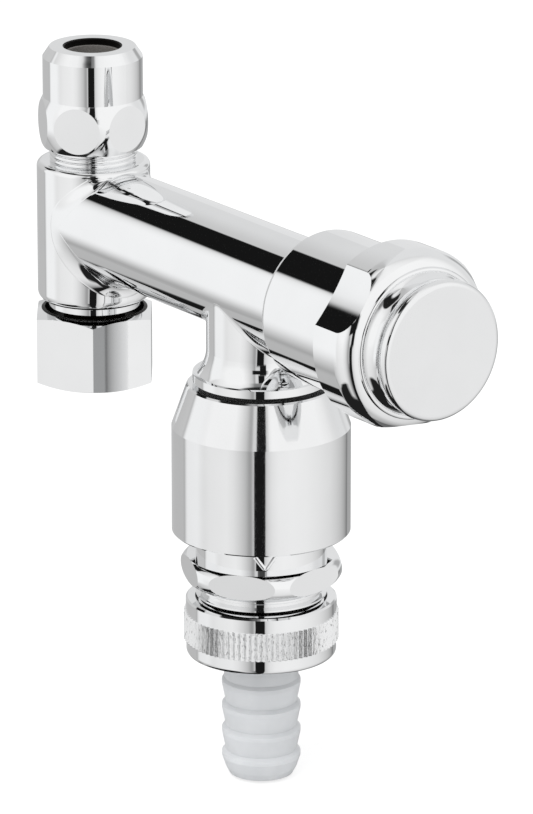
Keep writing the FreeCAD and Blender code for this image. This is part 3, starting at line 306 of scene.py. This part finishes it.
def make_world():
    """White studio; mirror rays see its grey walls and black flags too."""
    world = bpy.data.worlds.new("studio")
    bpy.context.scene.world = world
    world.use_nodes = True
    graph = Graph(world.node_tree)
    place = graph.node("ShaderNodeTexCoord")
    turn = graph.node("ShaderNodeVectorRotate", rotation_type="Z_AXIS")
    turn.inputs["Angle"].default_value = math.radians(90.0 - CAMERA_AZIMUTH)
    graph.link(place.outputs["Generated"], turn.inputs["Vector"])
    split = graph.node("ShaderNodeSeparateXYZ")
    graph.link(turn.outputs[0], split.inputs[0])
    degrees = math.degrees(1.0)
    azimuth = graph.maths("MULTIPLY", graph.maths("ARCTAN2", split.outputs[1], split.outputs[0]), degrees)
    elevation = graph.maths("MULTIPLY", graph.maths("ARCSINE", split.outputs[2]), degrees)
    round_about = ramp_of(graph, azimuth, -180.0, 180.0, HORIZON)
    gain = ramp_of(graph, elevation, -90.0, 90.0, HEIGHT_GAIN, GAIN_SCALE)
    level = graph.maths("MULTIPLY", graph.maths("MULTIPLY", round_about, gain), 1.0 / GAIN_SCALE)
    colour = graph.mix(graph.maths("MINIMUM", level, 1.0), (0.0, 0.0, 0.0), (1.0, 1.0, 1.0))
    for level, left, right, bottom, top in PANELS:
        mask = panel_mask(graph, azimuth, elevation, left, right, bottom, top)
        colour = graph.mix(mask, colour, grey(level))
    path = graph.node("ShaderNodeLightPath")
    seen = graph.mix(path.outputs["Is Glossy Ray"], grey(SOFT_LEVEL), colour)
    seen = graph.mix(path.outputs["Is Camera Ray"], seen, (1.0, 1.0, 1.0))
    background = graph.node("ShaderNodeBackground")
    graph.link(seen, background.inputs["Color"])
    output = graph.node("ShaderNodeOutputWorld")
    graph.link(background.outputs[0], output.inputs["Surface"])


def new_material(name):
    material = bpy.data.materials.new(name)
    material.use_nodes = True
    return material, Graph(material.node_tree)


def diffuse(graph, level):
    made = graph.node("ShaderNodeBsdfDiffuse")
    made.inputs["Color"].default_value = (level, level, level, 1.0)
    return made.outputs[0]


def make_floor():
    """A plain white floor under the hose tail; mirror rays pass through it to the studio."""
    height = CAD_BOX[0][2] - FLOOR_GAP
    corners = [(x * FLOOR_HALF, y * FLOOR_HALF, height) for x, y in ((-1, -1), (1, -1), (1, 1), (-1, 1))]
    mesh = bpy.data.meshes.new("floor")
    mesh.from_pydata(corners, [], [(0, 1, 2, 3)])
    floor = bpy.data.objects.new("floor", mesh)
    bpy.context.scene.collection.objects.link(floor)
    material, graph = new_material("floor_white")
    path = graph.node("ShaderNodeLightPath")
    glow = graph.node("ShaderNodeEmission")
    glow.inputs["Strength"].default_value = FLOOR_GLOW
    seen = graph.node("ShaderNodeAddShader")
    graph.link(diffuse(graph, FLOOR_SEEN_TONE), seen.inputs[0])
    graph.link(glow.outputs[0], seen.inputs[1])
    clear = graph.node("ShaderNodeBsdfTransparent")
    shader = graph.mix_shaders(path.outputs["Is Camera Ray"], diffuse(graph, FLOOR_TONE), seen.outputs[0])
    graph.finish(graph.mix_shaders(path.outputs["Is Glossy Ray"], shader, clear.outputs[0]))
    mesh.materials.append(material)


# Waves per metre of the slow change in a metal's tone and of the quick one in its polish
TONE_WAVES = 90.0
POLISH_WAVES = 900.0

# Painted shade in the hollows: nearly black and dull
HOLLOW_PAINTED_SHADE = (0.018, 0.017, 0.016)
HOLLOW_ROUGHNESS = 0.45

# Edges of the hollows and of the knurled band fade over this length
FADE = 0.1 * MM

# Knurled band: waves per metre of its grain and of its pits, pit tone, roughness and depth of the grain
GRAIN_WAVES = 2600.0
PIT_WAVES = 3600.0
PIT_TONE = grey(0.40)
KNURL_ROUGHNESS = 0.27
GRAIN_DEPTH = 0.06 * MM

# Metals: dark tone, light tone, roughness from and to, waves per metre and height of the surface's waviness
CHROME = (grey(0.86), grey(0.93), 0.015, 0.035, 60.0, 0.01 * MM)
SATIN = (grey(0.84), grey(0.90), 0.045, 0.075, 120.0, 0.01 * MM)
BRASS = ((0.62, 0.45, 0.19), (0.74, 0.56, 0.27), 0.20, 0.30, 500.0, 0.02 * MM)
# Brass painted nearly black as shade, for the tailpiece seen in the dark gap above the union nut
BRASS_PAINTED_SHADE = ((0.020, 0.016, 0.010), (0.045, 0.035, 0.020), 0.40, 0.55, 500.0, 0.02 * MM)
STEEL = (grey(0.50), grey(0.60), 0.22, 0.32, 500.0, 0.02 * MM)

# Matt grain: dark tone, light tone, roughness
FIBRE = ((0.13, 0.12, 0.11), (0.24, 0.23, 0.22), 0.75)
RUBBER = ((0.012, 0.012, 0.012), (0.03, 0.03, 0.03), 0.6)
MATT_WAVES = 2600.0
MATT_DEPTH = 0.03 * MM

# Plastics: dark tone, light tone, roughness, share of light that passes through
GREY_PLASTIC = (grey(0.32), grey(0.38), 0.35, 0.1)
WHITE_PLASTIC = ((0.63, 0.645, 0.66), (0.73, 0.74, 0.755), 0.28, 0.5)
SCATTER_RADIUS = 4.0 * MM
SCATTER_SCALE = 0.6
CLOUD_WAVES = 260.0
SKIN_WAVES = 1500.0
SKIN_DEPTH = 0.01 * MM


def noise(graph, scale, detail=2.0, place=None):
    """Noise in the object's own space, or at a place; scale is the number of waves per metre."""
    if place is None:
        place = graph.node("ShaderNodeTexCoord").outputs["Object"]
    made = graph.node("ShaderNodeTexNoise")
    made.inputs["Scale"].default_value = scale
    made.inputs["Detail"].default_value = detail
    graph.link(place, made.inputs["Vector"])
    return made.outputs["Fac"]


def bump(graph, height, distance):
    made = graph.node("ShaderNodeBump")
    made.inputs["Strength"].default_value = 1.0
    made.inputs["Distance"].default_value = distance
    graph.link(height, made.inputs["Height"])
    return made.outputs["Normal"]


def hollow_shade_mask(graph, axis, inner):
    """Mask of painted shade in a hollow: one on faces that look towards an upright axis and on all that lies
    within the inner radius of it.
    """
    place = graph.node("ShaderNodeTexCoord")
    shift = graph.node("ShaderNodeVectorMath", operation="MULTIPLY_ADD")
    graph.link(place.outputs["Object"], shift.inputs[0])
    shift.inputs[1].default_value = (1.0, 1.0, 0.0)
    shift.inputs[2].default_value = (-axis, 0.0, 0.0)
    outward = graph.node("ShaderNodeVectorMath", operation="NORMALIZE")
    graph.link(shift.outputs[0], outward.inputs[0])
    facing = graph.node("ShaderNodeVectorMath", operation="DOT_PRODUCT")
    graph.link(outward.outputs[0], facing.inputs[0])
    graph.link(place.outputs["Normal"], facing.inputs[1])
    away = graph.node("ShaderNodeVectorMath", operation="LENGTH")
    graph.link(shift.outputs[0], away.inputs[0])
    inward = graph.ramp(facing.outputs["Value"], -0.55, -0.35, 1.0, 0.0)
    within = graph.ramp(away.outputs["Value"], inner - FADE, inner, 1.0, 0.0)
    return graph.maths("MAXIMUM", inward, within)


def metal_base(graph, dark, light, rough_low, rough_high):
    """Metal shader, with a tone and a polish that vary slightly."""
    shader = graph.node("ShaderNodeBsdfPrincipled")
    shader.inputs["Metallic"].default_value = 1.0
    tone = graph.mix(noise(graph, TONE_WAVES, 3.0), dark, light)
    roughness = graph.ramp(noise(graph, POLISH_WAVES, 4.0), 0.3, 0.7, rough_low, rough_high)
    return shader, tone, roughness


def paint_hollow_shade(graph, tone, roughness, axis, inner):
    """Tone and roughness with painted shade, dark and dull, in the hollow round an axis."""
    mask = hollow_shade_mask(graph, axis, inner)
    dull = graph.maths("MULTIPLY", mask, HOLLOW_ROUGHNESS)
    return graph.mix(mask, tone, HOLLOW_PAINTED_SHADE), graph.maths("MAXIMUM", roughness, dull)


def finish_metal(graph, shader, tone, roughness, normal):
    graph.link(tone, shader.inputs["Base Color"])
    graph.link(roughness, shader.inputs["Roughness"])
    graph.link(normal, shader.inputs["Normal"])
    graph.finish(shader.outputs[0])


def metal(name, look, axis=None, inner=0.0):
    """Metal whose tone, polish and flatness vary slightly; hollows round an axis get painted shade, dark and
    dull.
    """
    dark, light, rough_low, rough_high, wave, wave_height = look
    material, graph = new_material(name)
    shader, tone, roughness = metal_base(graph, dark, light, rough_low, rough_high)
    if axis is not None:
        tone, roughness = paint_hollow_shade(graph, tone, roughness, axis, inner)
    finish_metal(graph, shader, tone, roughness, bump(graph, noise(graph, wave, 1.0), wave_height))
    return material


def knurled(name, look, axis, inner, low, high):
    """Metal nut whose knurled band between two heights is coarse, pitted and streaked along the teeth."""
    dark, light, rough_low, rough_high = look[:4]
    material, graph = new_material(name)
    shader, tone, roughness = metal_base(graph, dark, light, rough_low, rough_high)
    place = graph.node("ShaderNodeTexCoord")
    split = graph.node("ShaderNodeSeparateXYZ")
    graph.link(place.outputs["Object"], split.inputs[0])
    band = graph.maths("MULTIPLY", graph.ramp(split.outputs[2], low, low + FADE),
                       graph.ramp(split.outputs[2], high - FADE, high, 1.0, 0.0))
    stretch = graph.node("ShaderNodeVectorMath", operation="MULTIPLY")
    graph.link(place.outputs["Object"], stretch.inputs[0])
    stretch.inputs[1].default_value = (1.0, 1.0, 0.3)
    grain = noise(graph, GRAIN_WAVES, 3.0, stretch.outputs[0])
    spots = graph.ramp(noise(graph, PIT_WAVES, 2.0, stretch.outputs[0]), 0.58, 0.70)
    tone = graph.mix(graph.maths("MULTIPLY", spots, band), tone, PIT_TONE)
    roughness = graph.maths("MAXIMUM", roughness, graph.maths("MULTIPLY", band, KNURL_ROUGHNESS))
    # Painted shade, dark and dull, in the nut's hollow
    tone, roughness = paint_hollow_shade(graph, tone, roughness, axis, inner)
    finish_metal(graph, shader, tone, roughness, bump(graph, graph.maths("MULTIPLY", grain, band), GRAIN_DEPTH))
    return material


def matt(name, dark, light, roughness):
    """Rubber or fibre with a fine matt grain."""
    material, graph = new_material(name)
    shader = graph.node("ShaderNodeBsdfPrincipled")
    shader.inputs["Roughness"].default_value = roughness
    grain = noise(graph, MATT_WAVES, 5.0)
    graph.link(graph.mix(grain, dark, light), shader.inputs["Base Color"])
    graph.link(bump(graph, grain, MATT_DEPTH), shader.inputs["Normal"])
    graph.finish(shader.outputs[0])
    return material


def moulded(name, dark, light, roughness, scatter):
    """Moulded plastic with a little light passing through it."""
    material, graph = new_material(name)
    shader = graph.node("ShaderNodeBsdfPrincipled")
    shader.inputs["Subsurface Weight"].default_value = scatter
    shader.inputs["Subsurface Radius"].default_value = (SCATTER_RADIUS, SCATTER_RADIUS, SCATTER_RADIUS)
    shader.inputs["Subsurface Scale"].default_value = SCATTER_SCALE
    cloud = noise(graph, CLOUD_WAVES, 3.0)
    graph.link(graph.mix(cloud, dark, light), shader.inputs["Base Color"])
    graph.link(graph.ramp(cloud, 0.3, 0.7, roughness, roughness + 0.08), shader.inputs["Roughness"])
    graph.link(bump(graph, noise(graph, SKIN_WAVES, 2.0), SKIN_DEPTH), shader.inputs["Normal"])
    graph.finish(shader.outputs[0])
    return material


def make_materials():
    nut_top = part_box("hose_nut")[1].z
    return {
        "chrome": metal("chrome", CHROME),
        # The chrome variants with an axis carry painted shade in their hollows
        "chrome_union": metal("chrome_union", CHROME, LEG_PLACE, UNION_MOUTH),
        "chrome_pipe_nut": metal("chrome_pipe_nut", CHROME, LEG_PLACE, PIPE_MOUTH),
        "chrome_outlet": metal("chrome_outlet", CHROME, OUTLET_PLACE, OUTLET_HOLLOW),
        "chrome_satin": metal("chrome_satin", SATIN),
        "chrome_shroud": metal("chrome_shroud", SATIN, OUTLET_PLACE, OUTLET_HOLLOW),
        "chrome_knurl": knurled("chrome_knurl", CHROME, OUTLET_PLACE, HOSE_NUT_MOUTH,
                                nut_top - KNURL_END, nut_top - KNURL_START),
        "brass": metal("brass", BRASS),
        # Tailpiece brass painted nearly black as shade
        "brass_painted_shade": metal("brass_painted_shade", BRASS_PAINTED_SHADE),
        "steel": metal("steel", STEEL),
        "fibre": matt("fibre", *FIBRE),
        "rubber": matt("rubber", *RUBBER),
        "grey_plastic": moulded("grey_plastic", *GREY_PLASTIC),
        "white_plastic": moulded("white_plastic", *WHITE_PLASTIC),
    }


# CAD nodes whose finish is a variant of their slot's: chrome with painted shade in its hollows, and brass
# painted nearly black as shade
VARIANTS = {
    "inlet_union_nut": "chrome_union", "compression_nut": "chrome_pipe_nut", "outlet_body": "chrome_outlet",
    "shroud": "chrome_shroud", "hose_nut": "chrome_knurl", "inlet_tailpiece": "brass_painted_shade",
}


def dress_nodes(materials):
    """Give each CAD node the material of its slot in the record, or its variant."""
    slots = {part["node"]: part["material_slot"] for part in frame["record"]["subparts"]}
    for name, node in frame["nodes"].items():
        node.data.materials.clear()
        node.data.materials.append(materials[VARIANTS.get(name, slots[name])])


def link_mesh(name, vertices, faces, material, body):
    """A smooth mesh piece that rides on a body."""
    mesh = bpy.data.meshes.new(name)
    mesh.from_pydata(vertices, [], faces)
    mesh.validate()
    mesh.polygons.foreach_set("use_smooth", [True] * len(mesh.polygons))
    mesh.materials.append(material)
    piece = bpy.data.objects.new(name, mesh)
    bpy.context.scene.collection.objects.link(piece)
    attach(piece, body)


def strip_faces(rows, points, closed):
    """Faces between rows of points, the last row joined to the first where closed."""
    faces = []
    for row in range(rows if closed else rows - 1):
        following = (row + 1) % rows
        for index in range(points - 1):
            faces.append((row * points + index, row * points + index + 1,
                          following * points + index + 1, following * points + index))
    return faces


def sunk_edge(edge, outward, inward, other):
    """Point just past a blend's edge, sunk under the cylinder that the edge lies on."""
    if (inward - other * inward.dot(other)).length > 1e-6:
        return edge + (inward - other).normalized() * TUCK * 3 - outward * TUCK
    return edge - outward * TUCK


def blend_row(centre, radius, upright_axis, upright_radius, steps):
    """Points of one fillet arc from an upright cylinder to the barrel, with a sunk point at each end."""
    flat = Vector((centre.x - upright_axis, centre.y, 0.0)).normalized()
    around = Vector((0.0, centre.y, centre.z - BARREL_HEIGHT)).normalized()
    on_upright = Vector((upright_axis, 0.0, centre.z)) + flat * upright_radius
    on_barrel = Vector((centre.x, 0.0, BARREL_HEIGHT)) + around * BARREL_RADIUS
    start = (on_upright - centre).normalized()
    end = (on_barrel - centre).normalized()
    angle = start.angle(end)
    row = [sunk_edge(on_upright, flat, start, end)]
    for index in range(steps + 1):
        share = index / steps
        if angle < 1e-5:
            toward = start
        else:
            toward = start * (math.sin((1 - share) * angle) / math.sin(angle)) \
                + end * (math.sin(share * angle) / math.sin(angle))
        row.append(centre + toward * radius)
    row.append(sunk_edge(on_barrel, around, end, start))
    return row


def leg_blend(material):
    """Soft concave blend where the barrel leaves the leg, wider below than above."""
    vertices = []
    for row in range(LEG_BLEND_ROWS):
        turn = LEG_BLEND_START + (2 * math.pi - 2 * LEG_BLEND_START) * row / (LEG_BLEND_ROWS - 1)
        low = 0.5 - 0.5 * math.cos(turn)
        width = LEG_BLEND_WIDTH + LEG_BLEND_EXTRA * low ** 2
        between = math.acos(min(math.sin(turn) ** 2 * BARREL_RADIUS / LEG_RADIUS, 1.0))
        radius = width / (2 * math.tan(between / 2))
        if math.cos(turn) > 0.1:
            radius = min(radius, LEG_SIDE_TOP / math.cos(turn) - BARREL_RADIUS)
        radius = max(radius, LEG_BLEND_SMALLEST)
        y = (BARREL_RADIUS + radius) * math.sin(turn)
        z = BARREL_HEIGHT + (BARREL_RADIUS + radius) * math.cos(turn)
        x = math.sqrt(max((LEG_RADIUS + radius) ** 2 - y * y, 0.0))
        vertices += blend_row(Vector((x, y, z)), radius, LEG_PLACE, LEG_RADIUS, LEG_BLEND_STEPS)
    faces = strip_faces(LEG_BLEND_ROWS, LEG_BLEND_STEPS + 3, False)
    link_mesh("leg_blend", vertices, faces, material, "tap")


def outlet_blend(material):
    """Soft concave fillet where the outlet neck leaves the barrel."""
    radius = NECK_BLEND_RADIUS
    vertices = []
    for row in range(NECK_BLEND_ROWS):
        turn = 2 * math.pi * row / NECK_BLEND_ROWS
        x = OUTLET_PLACE + (NECK_RADIUS + radius) * math.cos(turn)
        y = (NECK_RADIUS + radius) * math.sin(turn)
        z = BARREL_HEIGHT - math.sqrt(max((BARREL_RADIUS + radius) ** 2 - y * y, 0.0))
        vertices += blend_row(Vector((x, y, z)), radius, OUTLET_PLACE, NECK_RADIUS, NECK_BLEND_STEPS)
    faces = strip_faces(NECK_BLEND_ROWS, NECK_BLEND_STEPS + 3, True)
    link_mesh("outlet_blend", vertices, faces, material, "tap")


def flow_arrow(material):
    """Small raised V on the neck of the outlet body, facing the camera."""
    facing = math.radians(CAMERA_AZIMUTH - 90.0) + ARROW_TURN
    rows = 2 * ARROW_STEPS + 1
    vertices = []
    for row in range(rows):
        share = row / ARROW_STEPS - 1.0
        across = share * ARROW_HALF_WIDTH
        height = ARROW_TIP + (ARROW_TOP - ARROW_TIP) * abs(share)
        lean = math.copysign(ARROW_ARM * ARROW_LEAN, share) if share else 0.0
        for side, out in ((1.0, -ARROW_SUNK), (ARROW_CREST, ARROW_RISE),
                          (-ARROW_CREST, ARROW_RISE), (-1.0, -ARROW_SUNK)):
            angle = facing + (across - lean * side) / ARROW_REACH
            radius = ARROW_REACH + out
            vertices.append(Vector((OUTLET_PLACE + radius * math.cos(angle), radius * math.sin(angle),
                                    height + ARROW_ARM * side)))
    last = 4 * (rows - 1)
    ends = [(3, 2, 1, 0), (last, last + 1, last + 2, last + 3)]
    link_mesh("flow_arrow", vertices, strip_faces(rows, 4, False) + ends, material, "tap")


make_camera()
make_world()
make_lamp("key_lamp", *LAMP)
make_floor()
MATERIALS = make_materials()
dress_nodes(MATERIALS)
leg_blend(MATERIALS["chrome"])
outlet_blend(MATERIALS["chrome"])
flow_arrow(MATERIALS["chrome"])
